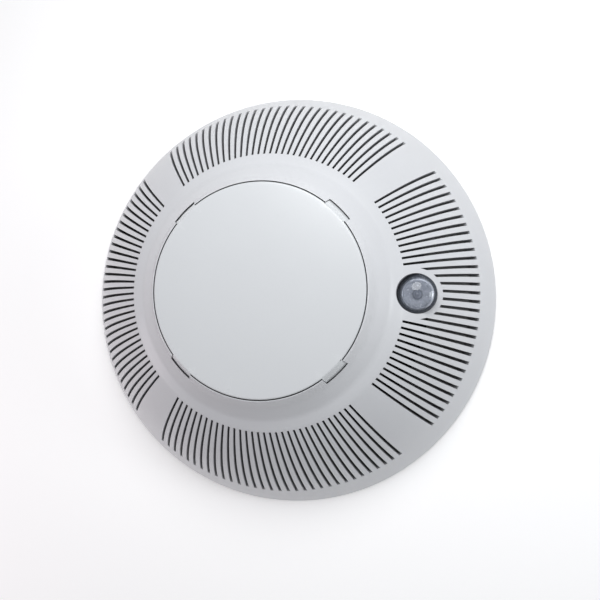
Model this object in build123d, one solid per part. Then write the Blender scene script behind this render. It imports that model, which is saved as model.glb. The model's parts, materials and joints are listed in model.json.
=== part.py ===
from build123d import *
import os
from math import cos, hypot, radians, sin, sqrt

# Ceiling heat detector with a slotted dome cover, a press-to-test centre cap and a lamp.
# Millimetres. The origin is the centre of the ceiling face and +Z points down into the room,
# away from the ceiling. +X runs through the lamp's lens.

# ---- front cover ----
COVER_R = 75.0              # rim radius, half the overall diameter
RIM_Z = 0.6                 # gap between the ceiling and the cover's rim
DOME_START = (43.7, 37.8)   # radius and height where the dome leaves the centre boss
DOME_ARC_R = 84.0           # radius of the dome's outline
WALL = 3.0                  # wall and rib depth of the dome
WELL_R = 33.9               # the well that the centre cap sits in
WELL_FLOOR_Z = 39.5
WELL_FLOOR = 2.0
BOSS_OUTLINE = [(34.3, 46.3), (36.2, 42.9), (40.8, 39.2)]   # radius and height, outwards
BOSS_ROUND = 0.3
PILOT_R = 1.3               # screw pilot in a cover post
PILOT_DEPTH = 9.0

# ---- air slots ----
SECTORS = 4
SLOTS_PER_SECTOR = 32
SLOT_PITCH = 2.5            # degrees
SLOT_SPREAD = 1.05          # angular width of one slot, degrees
SLOT_R_IN = 44.7
SLOT_R_OUT = 68.7
SCREEN_FOOT_R = 52.0        # the insect screen is a cone from its foot to its crown
SCREEN_CROWN = (43.6, 33.4)
SCREEN_THICK = 0.6

# ---- lamp ----
LAMP_R = 48.1               # distance of the lens from the axis
LENS_R = 6.2
LENS_BORE_R = 6.3
LENS_WALL = 0.9
LENS_SKIRT_Z = 28.0
LENS_EDGE_Z = 33.4
LENS_CROWN = 2.4
PAD_R = 8.0                 # solid ring around the lens that cuts the slots short
SOCKET_R = 7.8
SOCKET_Z = 24.0
REFLECTOR_R = 4.7
REFLECTOR_TOP_Z = 32.2
REFLECTOR_DEPTH = 3.9
REFLECTOR_NECK_R = 1.6
REFLECTOR_WALL = 0.8
REFLECTOR_FLANGE = 0.5
HOLDER_Z = 21.9
HOLDER_R = 7.2
LED_R = 1.5
LED_BODY = 1.9
LAMP_WIRE_R = 0.45
LAMP_WIRE_X = 36.0          # where the lamp's wires meet the board
LAMP_WIRE_Y = (1.6, 1.8)    # half their spacing at the lamp and at the board

# ---- centre cap ----
CAP_R = 33.5
CAP_TOP_Z = 46.6
CAP_THICK = 2.0
CAP_EDGE_ROUND = 0.5
CAP_TRAVEL = 1.5
CAP_SKIRT = (31.0, 32.4, 41.4)   # inner radius, outer radius and foot height
TONGUES = 4
TONGUE_SPREAD = 14.0        # degrees
TONGUE_KNEE_R = 33.7        # the tongue's top face runs flat to here, then rolls down
TONGUE_ROLL = 1.6
TONGUE_R_OUT = 36.0
TONGUE_TIP_Z = 43.1
TONGUE_TIP_THICK = 1.2
FIT_GAP = 0.3               # clearance around a tongue in its notch
STEM_R = 2.5
STEM_FOOT = 7.45            # above the board
STEM_HOLE_R = 4.0
HOOK_R = 29.0
HOOK_SIZE = (1.6, 5.0)      # radial and tangential
HOOK_BARB = 0.9
HOOK_TIP = 1.5              # height of the barb
CAP_SPRINGS = 4
SPRING_R = 24.0
SPRING_COIL_R = 2.3
SPRING_WIRE_R = 0.22
SPRING_TURNS = 5
SPRING_PEG = (1.4, 41.8)    # radius and foot height

# ---- base shell and bayonet ----
BASE_R = 66.5
BASE_FLOOR_Z = 8.0
BASE_FLOOR = 2.0
BASE_WALL = 1.5
BASE_FLANGE = (69.2, 5.2)    # radius and height of the outer flange's edge
SKIRT_R = 63.0
SKIRT_Z = 1.4
BRIM_RIBS = 24
BRIM_RIB_WIDTH = 1.2
TWIST = 15.0                # degrees from locked to free
HOOKS = 4
BAYONET_R = 44.0
BAYONET_POST = (4.0, 8.0)   # radial width in mm, spread in degrees
BAYONET_HEAD_W = 8.0
BAYONET_HEAD = 1.8
BAYONET_GAP = 0.2
POSTS = 4                   # cover posts, and board posts on the same angles
POST_ANGLE = 45.0
COVER_POST_R = 56.0
COVER_POST_SIZE = 3.5
COVER_POST_Z = 14.0
COVER_SCREW = (2.8, 8.7, 10.6)   # head radius, head's two heights
COVER_SCREW_REACH = 8.0
SCREW_ROOM = 0.3            # clearance round a screw's head or shank
DRIVE = (0.7, 0.8)          # width and depth of a screw's cross recess

# ---- mounting plate ----
PLATE_R = 60.0
PLATE_THICK = 2.4
PLATE_LIP = 1.6
PLATE_LIP_Z = 6.0
CABLE_HOLE_R = 13.0
FIXING_SLOT_R = 2.25
FIXING_SLOT_LENGTH = 16.0
FIXING_SLOT_OUTER = 10.0
BACK_RECESS = 0.8           # depth of the hollows in the ceiling face
BACK_HUB_R = 17.0
BACK_LAND_R = 55.0
BACK_RING_R = 36.0
BACK_RIBS = 8
BACK_RIB_WIDTH = 1.6
SLOT_LAND = 3.0             # width of the land round a fixing slot
FIXING_X = 60.0             # hole-to-hole distance of the inner pair
FIXING_Y = 100.0            # hole-to-hole distance of the outer pair

# ---- circuit board ----
BOARD_R = 41.0
BOARD_Z = 17.0
BOARD_THICK = 1.6
BOARD_TOP = BOARD_Z + BOARD_THICK
BOARD_POST_R = 34.5
BOARD_POST_SIZE = 3.0
BOARD_PILOT_FOOT = 11.5
BOARD_SCREW_HEAD = (2.4, 1.6)   # radius and height
BOARD_SCREW_REACH = 5.0
BOARD_HOLE_R = 1.6
BOARD_SCREW_R = 1.1
PIN_RING_R = 30.0
PIN_ANGLES = (60.0, 90.0, 120.0)
PIN_R = 1.2
PIN_TIP_Z = 5.0
LEAF_WIDTH = 3.0
LEAF_THICK = 0.4
LEAF_REACH = (-6.0, 3.0)    # the leaf's two ends, measured outwards from its pin
LEAF_FOOT = 3.7             # length of the leaf's flat foot
LEAF_RAMP = 2.0             # length of the slope up to the arm

# ---- supply terminals ----
TERMINALS = 4
TERMINAL_Y = -27.0
TERMINAL_PITCH = 6.0
TERMINAL_TOP = 7.2
TERMINAL_DEPTH = 10.0
TERMINAL_WELL_R = 2.1       # round well over a terminal screw
TERMINAL_MOUTH = (3.4, 3.0)  # width and depth of the opening for a supply wire
TERMINAL_MOUTH_Z = (3.0, 6.0)
TERMINAL_SCREW = (2.0, 4.9, 6.6, 1.0, 4.4)   # head radius, head's heights, shank radius, tip
SUPPLY_R = 0.7
SUPPLY_ROUTES = [(3, 18.0, 0), (2, 14.9, 1), (0, -15.5, 2)]   # terminal, x beside the hole, leaf
SUPPLY_ROUTE_Y = (-8.0, 7.0)

# ---- parts on the board: x and y, then sizes, heights above the board ----
SWITCH_SIZE = 10.0
SWITCH_TOP = BOARD_TOP + 5.6
SWITCH_WELL = 1.6           # thickness of the switch under its plunger
PLUNGER_R = 2.0
PLUNGER_TOP = 7.4
SOUNDER_X = -21.0
SOUNDER_R = 12.0
SOUNDER_HEIGHT = 9.0
SOUNDER_DISC_Z = BOARD_TOP + 3.4
SOUNDER_DISC = 0.3
SOUNDER_CERAMIC = (8.0, 0.25)
SOUNDER_PORT_R = 2.6
SOUNDER_WALL = 1.0
SOUNDER_LEDGE = 1.7         # width of the step that carries the disc
SOUNDER_LEAD_Y = 4.0
CELL_R = 7.8
CELL_LENGTH = 27.0
CELL_PLACE = (-2.0, 25.5, BOARD_TOP + 8.6)
CELL_NIB = (2.2, 0.6)
TAG = (0.4, 4.0, 2.5)       # thickness, width, reach above the cell's axis
THERMISTOR_ANGLES = (78.75, 258.75)
THERMISTOR_R = 38.0
BEAD_R = 1.3
BEAD_Z = 31.0
BEAD_LEG = 0.7              # half the distance between a bead's two leads
LEAD_R = 0.25
RELAY_PLACE = (25.0, -10.0)
RELAY_SIZE = (15.5, 10.5, 11.5)
CHIP_PLACE = (15.0, 8.0)
CHIP_SIZE = (7.0, 1.1)
CHIP_PINS = 7
CHIP_PIN_PITCH = 0.9
CHIP_PIN_SPAN = 9.0
CAPACITORS = [(4, -20, 4.0, 12.0), (-7, -23, 4.0, 12.0), (14, -25, 2.5, 11.0), (28, 8, 2.5, 7.0)]
RESISTOR = (3.2, 1.6, 0.6)
RESISTOR_GRID = (14.0, 15.0, 4.6, 3.0)
SMALL_RESISTOR = (2.0, 1.25, 0.6)
SMALL_RESISTOR_ROW = (-12.0, -32.0, 3.2)
DIODE = (1.3, 4.4)
DIODE_ROW = (-26.0, -19.0, 3.6)
ARRESTER = (9.0, -33.0, 4.5, 3.0)
ARRESTER_ROUND = 0.8
INDUCTOR_PLACE = (0.0, -11.0)
INDUCTOR = (3.5, 1.6, 8.0)  # flange radius, core radius and height
INDUCTOR_FLANGE = 1.0
COIL_R = 3.1
CAN_ROUND = 0.5

UP = (Align.CENTER, Align.CENTER, Align.MIN)


# ---- helpers ----
def cylinder(r, z0, z1, x=0.0, y=0.0):
    return Pos(x, y, z0) * Cylinder(r, z1 - z0, align=UP)


def tube(r_out, r_in, z0, z1, x=0.0, y=0.0):
    return cylinder(r_out, z0, z1, x, y) - cylinder(r_in, z0 - 1, z1 + 1, x, y)


def block(dx, dy, z0, z1, x=0.0, y=0.0):
    return Pos(x, y, z0) * Box(dx, dy, z1 - z0, align=UP)


def sector(r_in, r_out, a0, a1, z0, z1):
    """A piece of a ring between two angles in degrees."""
    face = Plane.XZ * Polygon((r_in, z0), (r_out, z0), (r_out, z1), (r_in, z1), align=None)
    return Rot(0, 0, a0) * revolve(face, Axis.Z, a1 - a0)


def spun(points, start=0.0, spread=360.0):
    """Turn an outline of (radius, height) points about the Z axis."""
    face = Plane.XZ * Polygon(*points, align=None)
    return Rot(0, 0, start) * revolve(face, Axis.Z, spread)


def polar(r, angle):
    return r * cos(radians(angle)), r * sin(radians(angle))


def around(count, first, make):
    """Copies of make() at equal steps around the Z axis."""
    return [Rot(0, 0, first + i * 360.0 / count) * make() for i in range(count)]


def wire(points, radius, leave, arrive):
    """A round wire through the given points, with its direction at each end."""
    path = Spline(*points, tangents=(leave, arrive))
    return sweep((path ^ 0) * Circle(radius), path=path)


def save(name, shape):
    solids = shape if isinstance(shape, list) else [shape]
    flat = [solid for item in solids for solid in item.solids()]
    export_step(flat[0] if len(flat) == 1 else Compound(children=flat), f"parts/{name}.step")


def dome_centre():
    """Centre of the dome's outline arc, in radius and height."""
    (r0, z0), (r1, z1) = DOME_START, (COVER_R, RIM_Z)
    chord = hypot(r1 - r0, z1 - z0)
    reach = sqrt(DOME_ARC_R**2 - (chord / 2) ** 2)
    return (r0 + r1) / 2 + (z1 - z0) / chord * reach, (z0 + z1) / 2 - (r1 - r0) / chord * reach


def dome_z(r, inset=0.0):
    """Height of the dome's surface at a radius, or of a surface parallel to it."""
    centre_r, centre_z = dome_centre()
    return centre_z + sqrt((DOME_ARC_R - inset) ** 2 - (r - centre_r) ** 2)


def dome_r(z, inset=0.0):
    centre_r, centre_z = dome_centre()
    return centre_r + sqrt((DOME_ARC_R - inset) ** 2 - (z - centre_z) ** 2)


# ---- front cover ----
def cover_shell():
    boss_base = (DOME_START[0] - 1.5, dome_z(DOME_START[0] - 1.5, WALL))
    boss_foot = (BOSS_OUTLINE[1][0], WELL_FLOOR_Z - WELL_FLOOR)
    inner_rim = (dome_r(RIM_Z, WALL), RIM_Z)
    mid_out = (DOME_START[0] + COVER_R) / 2
    mid_in = (boss_base[0] + inner_rim[0]) / 2
    boss = FilletPolyline((WELL_R, BOSS_OUTLINE[0][1]), *BOSS_OUTLINE, DOME_START, radius=BOSS_ROUND)
    outline = [
        boss,
        ThreePointArc(DOME_START, (mid_out, dome_z(mid_out)), (COVER_R, RIM_Z)),
        Line((COVER_R, RIM_Z), inner_rim),
        ThreePointArc(inner_rim, (mid_in, dome_z(mid_in, WALL)), boss_base),
        Polyline(boss_base, boss_foot, (STEM_HOLE_R, boss_foot[1]), (STEM_HOLE_R, WELL_FLOOR_Z)),
        Polyline((STEM_HOLE_R, WELL_FLOOR_Z), (WELL_R, WELL_FLOOR_Z), (WELL_R, BOSS_OUTLINE[0][1])),
    ]
    return revolve(Plane.XZ * make_face(outline), Axis.Z)


def slot_tool(angle):
    half = radians(SLOT_SPREAD / 2)
    points = [(r * cos(half), s * r * sin(half))
              for r, s in ((SLOT_R_IN, -1), (SLOT_R_OUT, -1), (SLOT_R_OUT, 1), (SLOT_R_IN, 1))]
    return Rot(0, 0, angle) * extrude(Polygon(*points, align=None), DOME_START[1] + WALL)


def slot_angles():
    for i in range(SECTORS):
        for k in range(SLOTS_PER_SECTOR):
            yield i * 360.0 / SECTORS + (k + 0.5 - SLOTS_PER_SECTOR / 2) * SLOT_PITCH


def front_cover():
    shell = cover_shell()
    slots = [slot_tool(a) for a in slot_angles()]
    pad = cylinder(PAD_R, 0, CAP_TOP_Z, LAMP_R)
    near_lamp = [s - pad if abs((a + 180) % 360 - 180) < 10 else s
                 for a, s in zip(slot_angles(), slots)]
    shell = shell - near_lamp
    posts = around(POSTS, POST_ANGLE, cover_post)
    socket = cylinder(SOCKET_R, SOCKET_Z, dome_z(LAMP_R - SOCKET_R, WALL / 2), LAMP_R)
    socket = socket & dome_filler()
    shell = shell + posts + socket
    shell = shell - cylinder(LENS_BORE_R, 0, CAP_TOP_Z, LAMP_R)
    shell = shell - around(POSTS, POST_ANGLE, post_pilot)
    shell = shell - around(TONGUES, 45, tongue_notch)
    return shell - around(TONGUES, 45, hook_window)


def dome_filler():
    """Everything under the middle of the dome's wall."""
    r_in = DOME_START[0] - 4
    r_out = COVER_R - WALL
    mid = (DOME_START[0] + r_out) / 2
    inset = WALL / 2
    top = ThreePointArc(DOME_START[:1] + (dome_z(DOME_START[0], inset),), (mid, dome_z(mid, inset)),
                        (dome_r(RIM_Z, inset), RIM_Z))
    sides = Polyline(top @ 1, (r_in, RIM_Z), (r_in, dome_z(DOME_START[0], inset)), top @ 0)
    return revolve(Plane.XZ * make_face([top, sides]), Axis.Z)


def cover_post():
    top = dome_z(COVER_POST_R + COVER_POST_SIZE, WALL / 2)
    return cylinder(COVER_POST_SIZE, COVER_POST_Z, top, COVER_POST_R)


def post_pilot():
    return cylinder(PILOT_R, COVER_POST_Z - 1, COVER_POST_Z + PILOT_DEPTH, COVER_POST_R)


def tongue_notch():
    half = TONGUE_SPREAD / 2 + 0.5
    floor = TONGUE_TIP_Z - TONGUE_TIP_THICK - CAP_TRAVEL - 0.2
    return sector(WELL_R - 0.5, TONGUE_R_OUT + FIT_GAP, -half, half, floor, CAP_TOP_Z + 1)


def hook_window():
    dx, dy = HOOK_SIZE
    width = dx + HOOK_BARB + 2 * FIT_GAP
    low = WELL_FLOOR_Z - WELL_FLOOR - 1
    return block(width, dy + 1, low, WELL_FLOOR_Z + 1, HOOK_R + HOOK_BARB / 2)


# ---- centre cap ----
def tongue_roll():
    """The tongue's outer face: flat at first, then rolling down to the tip."""
    return FilletPolyline((CAP_SKIRT[0] + 0.3, CAP_TOP_Z), (TONGUE_KNEE_R, CAP_TOP_Z),
                          (TONGUE_R_OUT, TONGUE_TIP_Z), radius=TONGUE_ROLL)


def tongue_piece(outline):
    face = Plane.XZ * make_face(outline)
    return Rot(0, 0, -TONGUE_SPREAD / 2) * revolve(face, Axis.Z, TONGUE_SPREAD)


def tongue():
    roll = tongue_roll()
    under = CAP_TOP_Z - CAP_THICK
    tip_foot = (TONGUE_R_OUT, TONGUE_TIP_Z - TONGUE_TIP_THICK)
    return tongue_piece([roll, Polyline(roll @ 1, tip_foot, (CAP_SKIRT[1] + 0.1, under),
                                        (CAP_SKIRT[0] + 0.3, under), roll @ 0)])


def tongue_scoop():
    """What the cap's edge loses to make way for a tongue's roll."""
    roll = tongue_roll()
    return tongue_piece([roll, Polyline(roll @ 1, (TONGUE_R_OUT, CAP_TOP_Z + 1),
                                        (CAP_SKIRT[0] + 0.3, CAP_TOP_Z + 1), roll @ 0)])


def cap_hook():
    dx, dy = HOOK_SIZE
    barb_top = WELL_FLOOR_Z - WELL_FLOOR - 0.05
    leg = block(dx, dy, barb_top - HOOK_TIP, CAP_TOP_Z - CAP_THICK, HOOK_R)
    inner = HOOK_R + dx / 2
    barb = Plane.XZ * Polygon((inner, barb_top), (inner + HOOK_BARB, barb_top),
                              (inner, barb_top - HOOK_TIP), align=None)
    return leg + extrude(barb, dy / 2, both=True)


def cap_skirt():
    inner, outer, foot = CAP_SKIRT
    return tube(outer, inner, foot, CAP_TOP_Z - CAP_THICK)


def spring_peg():
    radius, foot = SPRING_PEG
    return cylinder(radius, foot, CAP_TOP_Z - CAP_THICK, SPRING_R)


def centre_cap():
    plate = cylinder(CAP_R, CAP_TOP_Z - CAP_THICK, CAP_TOP_Z)
    plate = fillet(plate.edges().group_by(Axis.Z)[-1], CAP_EDGE_ROUND)
    cap = plate - around(TONGUES, 45, tongue_scoop) + around(TONGUES, 45, tongue)
    cap = cap + cap_skirt() + around(TONGUES, 45, cap_hook) + around(CAP_SPRINGS, 0, spring_peg)
    return cap + cylinder(STEM_R, BOARD_TOP + STEM_FOOT, CAP_TOP_Z - CAP_THICK)


def cap_spring():
    height = CAP_TOP_Z - CAP_THICK - WELL_FLOOR_Z - 2 * SPRING_WIRE_R
    path = Helix(pitch=height / SPRING_TURNS, height=height, radius=SPRING_COIL_R)
    coil = sweep((path ^ 0) * Circle(SPRING_WIRE_R), path=path, is_frenet=True)
    return Pos(SPRING_R, 0, WELL_FLOOR_Z + SPRING_WIRE_R) * coil


def cap_springs():
    return around(CAP_SPRINGS, 0, cap_spring)


# ---- base shell ----
def at_posts(make):
    """Copies of make() at the angles of the posts."""
    return around(POSTS, POST_ANGLE, make)


def bayonet_keyhole():
    """A floor slot that a bayonet post slides along, with a wide end that its head drops through."""
    post_w, post_a = BAYONET_POST
    low = BASE_FLOOR_Z - 1
    high = BASE_FLOOR_Z + BASE_FLOOR + 1
    narrow = post_w / 2 + BAYONET_GAP
    wide = BAYONET_HEAD_W / 2 + BAYONET_GAP
    half = post_a / 2 + 0.5
    run = sector(BAYONET_R - narrow, BAYONET_R + narrow, -TWIST - half, half, low, high)
    return run + sector(BAYONET_R - wide, BAYONET_R + wide, -TWIST - half, half - TWIST, low, high)


def base_flange():
    """A sloping brim that closes the gap to the cover."""
    edge_r, edge_z = BASE_FLANGE
    root = BASE_R - BASE_WALL
    return spun([(root, BASE_FLOOR_Z), (edge_r - BASE_WALL, edge_z), (edge_r, edge_z),
                 (BASE_R, BASE_FLOOR_Z + BASE_FLOOR), (root, BASE_FLOOR_Z + BASE_FLOOR)])


def brim_rib():
    """A web between the skirt and the sloping brim."""
    root = SKIRT_R - 0.5
    outline = Polygon((root, 4.0), (SKIRT_R + 1, 4.0), (BASE_FLANGE[0] - 2, BASE_FLANGE[1] + 0.6),
                      (BASE_R, BASE_FLOOR_Z + 1), (root, BASE_FLOOR_Z + 1), align=None)
    return extrude(Plane.XZ * outline, BRIM_RIB_WIDTH / 2, both=True)


def base_shell():
    top = BASE_FLOOR_Z + BASE_FLOOR
    shell = cylinder(BASE_R, BASE_FLOOR_Z, top) + base_flange()
    shell = shell + tube(SKIRT_R, SKIRT_R - BASE_WALL, SKIRT_Z, BASE_FLOOR_Z)
    shell = shell + around(BRIM_RIBS, 0, brim_rib)
    shell = shell + at_posts(lambda: cylinder(COVER_POST_SIZE, top, COVER_POST_Z, COVER_POST_R))
    shell = shell + at_posts(lambda: cylinder(BOARD_POST_SIZE, top, BOARD_Z, BOARD_POST_R))
    shell = shell - around(HOOKS, 0, bayonet_keyhole)
    head_r, _, head_top = COVER_SCREW
    shell = shell - at_posts(lambda: cylinder(head_r + SCREW_ROOM, 0, head_top, COVER_POST_R))
    shell = shell - at_posts(lambda: cylinder(PILOT_R + SCREW_ROOM, 0, COVER_POST_Z + 1, COVER_POST_R))
    shell = shell - at_posts(lambda: cylinder(BOARD_SCREW_R, BOARD_PILOT_FOOT, BOARD_Z + 1, BOARD_POST_R))
    for angle in PIN_ANGLES:
        shell = shell - cylinder(PIN_R + 0.5, 0, top + 1, *polar(PIN_RING_R, angle))
    return shell


def screw(x, y, head_r, head_z0, head_z1, shank_r, tip_z):
    """A pan-head screw along Z with a cross recess; the head may be above or below the tip."""
    low, high = min(head_z0, head_z1), max(head_z0, head_z1)
    body = cylinder(head_r, low, high, x, y)
    body = body + cylinder(shank_r, min(tip_z, low), max(tip_z, high), x, y)
    drive_z = head_z0 if head_z0 < tip_z else head_z1
    width, depth = DRIVE
    arms = block(head_r, width, drive_z - depth, drive_z + depth, x, y)
    arms = arms + block(width, head_r, drive_z - depth, drive_z + depth, x, y)
    return body - arms


def post_places(radius):
    return [polar(radius, POST_ANGLE + i * 360.0 / POSTS) for i in range(POSTS)]


def cover_screws():
    tip = COVER_POST_Z + COVER_SCREW_REACH
    return [screw(x, y, *COVER_SCREW, PILOT_R, tip) for x, y in post_places(COVER_POST_R)]


def board_screws():
    head_r, height = BOARD_SCREW_HEAD
    tip = BOARD_Z - BOARD_SCREW_REACH
    return [screw(x, y, head_r, BOARD_TOP, BOARD_TOP + height, BOARD_SCREW_R, tip)
            for x, y in post_places(BOARD_POST_R)]


def insect_screen():
    """A cone of gauze around the board, with a way through for the lamp."""
    crown_r, crown_z = SCREEN_CROWN
    foot_z = BASE_FLOOR_Z + BASE_FLOOR
    cone = spun([(SCREEN_FOOT_R, foot_z), SCREEN_CROWN, (crown_r - SCREEN_THICK, crown_z),
                 (SCREEN_FOOT_R - SCREEN_THICK, foot_z)])
    return cone - cylinder(SOCKET_R + 0.5, SOCKET_Z - 3, CAP_TOP_Z, LAMP_R)


# ---- lamp ----
def lens():
    """A clear thimble with a domed top."""
    inner = LENS_R - LENS_WALL
    top = LENS_EDGE_Z + LENS_CROWN
    outside = Polyline((0, LENS_SKIRT_Z), (LENS_R, LENS_SKIRT_Z), (LENS_R, LENS_EDGE_Z))
    crown = RadiusArc((LENS_R, LENS_EDGE_Z), (0, top), -crown_radius())
    face = make_face([outside, crown, Line((0, top), (0, LENS_SKIRT_Z))])
    body = revolve(Plane.XZ * face, Axis.Z)
    body = body - cylinder(inner, LENS_SKIRT_Z - 1, LENS_EDGE_Z)
    return Pos(LAMP_R, 0, 0) * body


def crown_radius():
    return (LENS_R**2 + LENS_CROWN**2) / (2 * LENS_CROWN)


def bowl_z(r, inset=0.0):
    """Height of the reflector's parabola."""
    return REFLECTOR_TOP_Z - REFLECTOR_DEPTH * (1 - (r / REFLECTOR_R) ** 2) - inset


def reflector():
    neck = REFLECTOR_NECK_R
    low = REFLECTOR_TOP_Z - REFLECTOR_FLANGE
    flange = LENS_R - LENS_WALL - 0.1
    mid = (neck + REFLECTOR_R) / 2
    bowl = ThreePointArc((neck, bowl_z(neck)), (mid, bowl_z(mid)), (REFLECTOR_R, REFLECTOR_TOP_Z))
    rim = Polyline(bowl @ 1, (flange, REFLECTOR_TOP_Z), (flange, low), (REFLECTOR_R, low))
    back = ThreePointArc(rim @ 1, (mid, bowl_z(mid, REFLECTOR_WALL)), (neck, bowl_z(neck, REFLECTOR_WALL)))
    section = make_face([bowl, rim, back, Line(back @ 1, bowl @ 0)])
    return Pos(LAMP_R, 0, 0) * revolve(Plane.XZ * section, Axis.Z)


def lamp_holder():
    shoulder = SOCKET_Z - 0.1
    plug = cylinder(LENS_BORE_R - 0.1, shoulder, LENS_SKIRT_Z - 0.1, LAMP_R)
    return plug + cylinder(HOLDER_R, HOLDER_Z, shoulder, LAMP_R)


def lamp_led():
    foot = LENS_SKIRT_Z - 0.1
    top = foot + LED_BODY + 0.1
    return cylinder(LED_R, foot, top, LAMP_R) + Pos(LAMP_R, 0, top) * Sphere(LED_R, 0, 90)


def lamp_wires():
    down = (0, 0, -1)
    lamp_y, board_y = LAMP_WIRE_Y
    wires = []
    for side in (-1, 1):
        start = (LAMP_R - 2, side * lamp_y, HOLDER_Z)
        bend = (LAMP_R - 4, side * lamp_y, HOLDER_Z - 1.2)
        dip = (LAMP_WIRE_X + 2, side * board_y, BOARD_TOP + 2.6)
        end = (LAMP_WIRE_X, side * board_y, BOARD_TOP)
        wires.append(wire([start, bend, dip, end], LAMP_WIRE_R, down, down))
    return wires


# ---- mounting plate ----
def fixing_slots(margin=0.0):
    """The four screw slots, or bigger shapes around them."""
    slots = []
    for side in (-1, 1):
        for x, y, length in ((FIXING_X / 2, 0, FIXING_SLOT_LENGTH), (0, FIXING_Y / 2, FIXING_SLOT_OUTER)):
            slot = SlotOverall(length + 2 * margin, 2 * (FIXING_SLOT_R + margin), rotation=0 if x else 90)
            slots.append(Pos(side * x, side * y, -PLATE_THICK) * extrude(slot, 3 * PLATE_THICK))
    return slots


def back_recess():
    """Shallow hollows in the ceiling face, with ribs, a ring and a land round each screw slot left."""
    hollow = tube(BACK_LAND_R, BACK_HUB_R, -1, BACK_RECESS)
    half = BACK_RIB_WIDTH / 2
    hollow = hollow - tube(BACK_RING_R + half, BACK_RING_R - half, -2, BACK_RECESS)
    length = BACK_LAND_R + 1
    ribs = around(BACK_RIBS, 45, lambda: block(length, BACK_RIB_WIDTH, -2, BACK_RECESS + 1, length / 2))
    return hollow - ribs - fixing_slots(SLOT_LAND)


def bayonet_hook():
    post_w, spread = BAYONET_POST
    head_z = BASE_FLOOR_Z + BASE_FLOOR + BAYONET_GAP
    half = spread / 2
    post = sector(BAYONET_R - post_w / 2, BAYONET_R + post_w / 2, -half, half, PLATE_THICK, head_z)
    return post + sector(BAYONET_R - BAYONET_HEAD_W / 2, BAYONET_R + BAYONET_HEAD_W / 2,
                         -half, half, head_z, head_z + BAYONET_HEAD)


def mounting_plate():
    plate = cylinder(PLATE_R, 0, PLATE_THICK)
    plate = plate + tube(PLATE_R, PLATE_R - PLATE_LIP, PLATE_THICK, PLATE_LIP_Z)
    plate = plate + around(HOOKS, 0, bayonet_hook)
    plate = plate - back_recess()
    plate = plate - cylinder(CABLE_HOLE_R, -1, PLATE_THICK + 1)
    return plate - fixing_slots()


# ---- supply terminals ----
def terminal_places():
    return [((i - (TERMINALS - 1) / 2) * TERMINAL_PITCH, TERMINAL_Y) for i in range(TERMINALS)]


def terminal_block():
    body = block(TERMINALS * TERMINAL_PITCH + 1, TERMINAL_DEPTH, PLATE_THICK, TERMINAL_TOP, 0, TERMINAL_Y)
    width, depth = TERMINAL_MOUTH
    for x, y in terminal_places():
        body = body - cylinder(TERMINAL_WELL_R, TERMINAL_SCREW[-1], TERMINAL_TOP + 1, x, y)
        body = body - block(width, 2 * depth, *TERMINAL_MOUTH_Z, x, y - TERMINAL_DEPTH / 2)
    return body


def terminal_screws():
    return [screw(x, y, *TERMINAL_SCREW) for x, y in terminal_places()]


def contact_leaf():
    """A bent spring strip: foot on the plate, arm under the contact pin."""
    top = PIN_TIP_Z - 0.2
    thick = LEAF_THICK
    x0, x1 = (PIN_RING_R + reach for reach in LEAF_REACH)
    foot = PLATE_THICK
    bend = x0 + LEAF_FOOT
    under = bend + 0.3
    outline = Polygon((x0, foot), (under, foot), (under + LEAF_RAMP, top - thick), (x1, top - thick),
                      (x1, top), (bend + LEAF_RAMP, top), (bend, foot + thick), (x0, foot + thick), align=None)
    return extrude(Plane.XZ * outline, LEAF_WIDTH / 2, both=True)


def contact_leaves():
    return [Rot(0, 0, angle) * contact_leaf() for angle in PIN_ANGLES]


def supply_links():
    """Insulated links from three terminals, round the cable hole, to the contact leaves."""
    z = PLATE_THICK + SUPPLY_R + 0.05
    face_y = TERMINAL_Y + TERMINAL_DEPTH / 2 + 0.05
    links = []
    for terminal, side_x, leaf in SUPPLY_ROUTES:
        start_x = terminal_places()[terminal][0]
        end_x, end_y = polar(PIN_RING_R + LEAF_REACH[0] - 0.1, PIN_ANGLES[leaf])
        beside = [(side_x, y, z) for y in SUPPLY_ROUTE_Y]
        points = [(start_x, face_y, z), *beside, (end_x, end_y, z)]
        links.append(wire(points, SUPPLY_R, (0, 1, 0), (end_x, end_y, 0)))
    return links


# ---- circuit board and its parts ----
def circuit_board():
    board = cylinder(BOARD_R, BOARD_Z, BOARD_TOP)
    return board - at_posts(lambda: cylinder(BOARD_HOLE_R, BOARD_Z - 1, BOARD_TOP + 1, BOARD_POST_R))


def contact_pins():
    return [cylinder(PIN_R, PIN_TIP_Z, BOARD_Z, *polar(PIN_RING_R, a)) for a in PIN_ANGLES]


def test_switch_body():
    body = block(SWITCH_SIZE, SWITCH_SIZE, BOARD_TOP, SWITCH_TOP)
    return body - cylinder(PLUNGER_R + 0.05, BOARD_TOP + SWITCH_WELL, SWITCH_TOP + 1)


def test_switch_plunger():
    foot = BOARD_TOP + SWITCH_WELL + CAP_TRAVEL + 0.1
    return cylinder(PLUNGER_R, foot, BOARD_TOP + PLUNGER_TOP)


def sounder_housing():
    top = BOARD_TOP + SOUNDER_HEIGHT
    cup = tube(SOUNDER_R, SOUNDER_R - SOUNDER_WALL, BOARD_TOP, top, SOUNDER_X)
    inside = SOUNDER_R - SOUNDER_WALL / 2
    cup = cup + tube(inside, inside - SOUNDER_LEDGE, BOARD_TOP, SOUNDER_DISC_Z, SOUNDER_X)
    return cup + tube(inside, SOUNDER_PORT_R, top - SOUNDER_WALL, top, SOUNDER_X)


def sounder_disc():
    return cylinder(SOUNDER_R - SOUNDER_WALL - 0.05, SOUNDER_DISC_Z, SOUNDER_DISC_Z + SOUNDER_DISC, SOUNDER_X)


def sounder_ceramic():
    radius, thick = SOUNDER_CERAMIC
    low = SOUNDER_DISC_Z + SOUNDER_DISC
    return cylinder(radius, low, low + thick, SOUNDER_X)


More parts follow.
